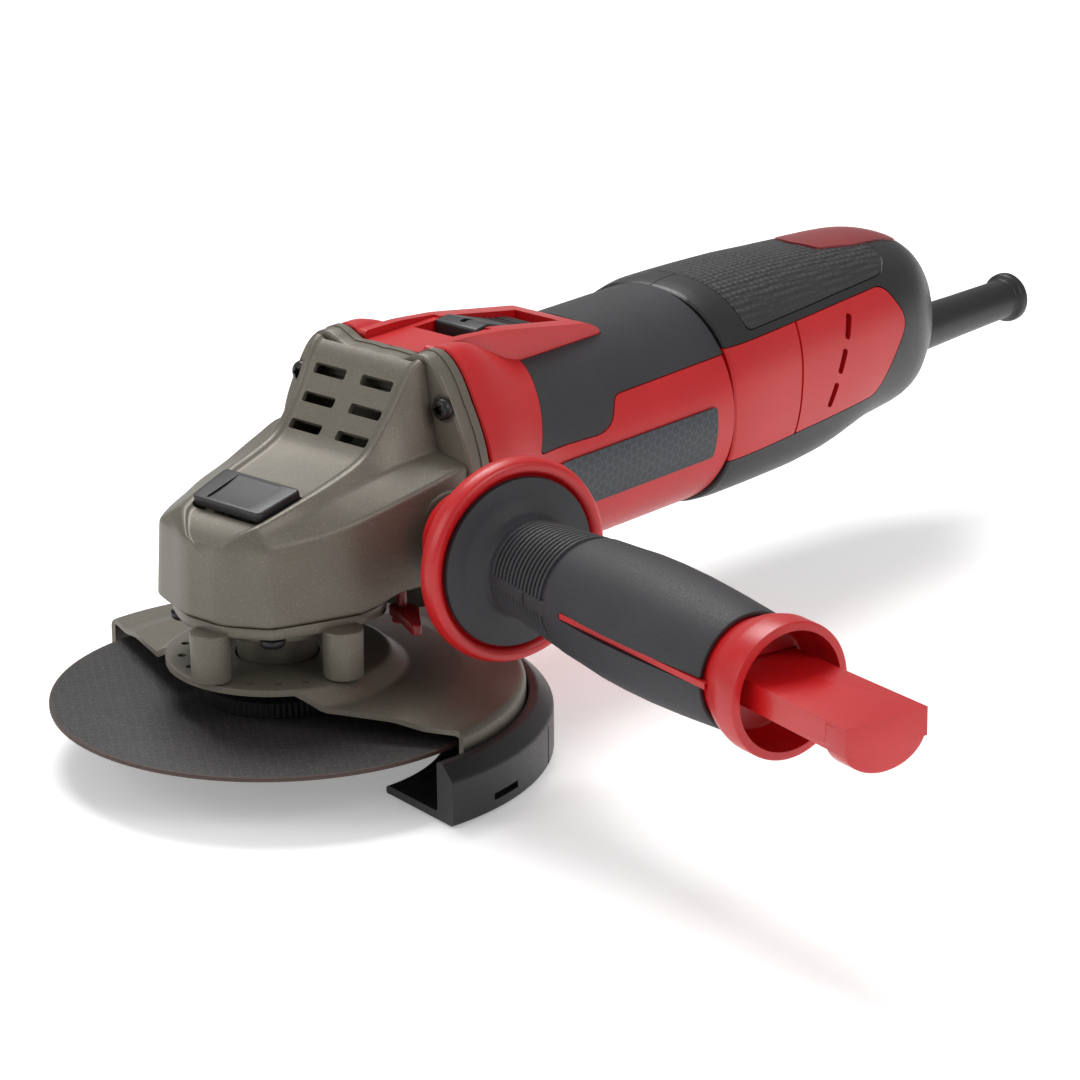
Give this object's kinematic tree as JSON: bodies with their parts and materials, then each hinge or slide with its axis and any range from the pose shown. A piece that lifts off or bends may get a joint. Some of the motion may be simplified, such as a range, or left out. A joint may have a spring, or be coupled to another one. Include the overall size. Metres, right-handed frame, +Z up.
{
  "type": "angle grinder",
  "caption": "Corded small angle grinder with side handle, turnable wheel guard, thin cutting disc, slide switch and slot-in spanner key.",
  "frame": {"origin": "centre of the spindle's lower end face", "axes": "+Z up along the spindle, +Y along the motor towards the cord, +X towards the side handle"},
  "size_m": [0.2914, 0.3975, 0.1072],
  "materials": {
    "diecast": "fine-sparkle grey painted die-casting",
    "red": "satin moulded nylon",
    "red_dark": "satin",
    "rubber": "matte soft overmould",
    "black": "fine grain",
    "steel": "machined",
    "dark_steel": "blackened",
    "red_steel": "satin powder coat",
    "disc": "bonded abrasive with glass mesh",
    "label": "semi-gloss printed sheet",
    "copper": "enamelled wire",
    "carbon": "pressed carbon",
    "brass": "stamped",
    "nylon": "natural nylon"
  },
  "bodies": {
    "tool_body": {"gear_housing": "diecast", "bearing_cover": "diecast", "spindle_bearing": "steel", "spindle_bush": "brass", "lock_spring": "steel", "guard_retaining_ring": "steel", "motor_housing": "red", "housing_overmould": "rubber", "label_right": "label", "label_left": "label", "switch_module": "black", "stator_core": "dark_steel", "field_coil_upper": "copper", "field_coil_lower": "copper", "bearing_plate": "diecast", "front_bearing": "steel", "rear_bearing": "steel", "brush_holder_right": "brass", "brush_holder_left": "brass", "carbon_brush_right": "carbon", "carbon_brush_left": "carbon", "rear_shell_right": "black", "rear_shell_left": "black", "side_panel_right": "red", "side_panel_left": "red", "grip_rubber": "rubber", "top_trim": "red_dark", "strain_relief": "black", "cord_clamp": "nylon", "handle_core": "red", "handle_grip": "rubber", "handle_stud": "steel", "head_screw_1": "dark_steel", "head_screw_2": "dark_steel", "head_screw_3": "dark_steel", "head_screw_4": "dark_steel", "cover_screw_1": "dark_steel", "cover_screw_2": "dark_steel", "cover_screw_3": "dark_steel", "cover_screw_4": "dark_steel", "shell_screw_1": "dark_steel", "shell_screw_2": "dark_steel"},
    "armature": {"armature_shaft": "steel", "rotor_core": "dark_steel", "rotor_winding": "copper", "commutator": "copper", "cooling_fan": "black", "pinion": "steel"},
    "spindle_group": {"spindle": "steel", "crown_gear": "steel", "inner_flange": "dark_steel", "flange_nut": "dark_steel", "cutting_disc": "disc"},
    "spindle_lock": {"lock_button": "black", "lock_pin": "steel"},
    "guard": {"wheel_guard": "diecast", "guard_clip_cover": "black"},
    "guard_release": {"guard_lever": "red_dark"},
    "switch_slider": {"slide_switch": "black"},
    "key": {"spanner_key": "red_steel"}
  },
  "joints": [
    {"name": "armature_spin", "type": "hinge", "parent": "tool_body", "child": "armature", "pos_m": [0, 0, 0.0565], "axis": [0, 1, 0], "continuous": true},
    {"name": "spindle_spin", "type": "hinge", "parent": "tool_body", "child": "spindle_group", "pos_m": [0, 0, 0], "axis": [0, 0, 1], "continuous": true},
    {"name": "lock_press", "type": "slide", "parent": "tool_body", "child": "spindle_lock", "axis": [0, 0.2419, -0.9703], "range_m": [0, 0.0022], "stiffness_N_per_m": 900, "springref_m": -0.002, "deforming": ["lock_spring"]},
    {"name": "guard_turn", "type": "hinge", "parent": "tool_body", "child": "guard", "pos_m": [0, 0, 0], "axis": [0, 0, 1], "range_deg": [-60, 60]},
    {"name": "guard_release", "type": "hinge", "parent": "tool_body", "child": "guard_release", "pos_m": [0.025, 0.023, 0.032], "axis": [0, 0, 1], "range_deg": [-20, 0], "stiffness_Nm_per_rad": 0.05},
    {"name": "switch_slide", "type": "slide", "parent": "tool_body", "child": "switch_slider", "axis": [0, -1, 0], "range_m": [0, 0.006]},
    {"name": "key_slide", "type": "slide", "parent": "tool_body", "child": "key", "axis": [0.9728, -0.2317, 0], "range_m": [-0.02, 0.035]}
  ],
  "couplings": [
    {"joint": "spindle_spin", "follows": "armature_spin", "ratio": 0.30556}
  ]
}
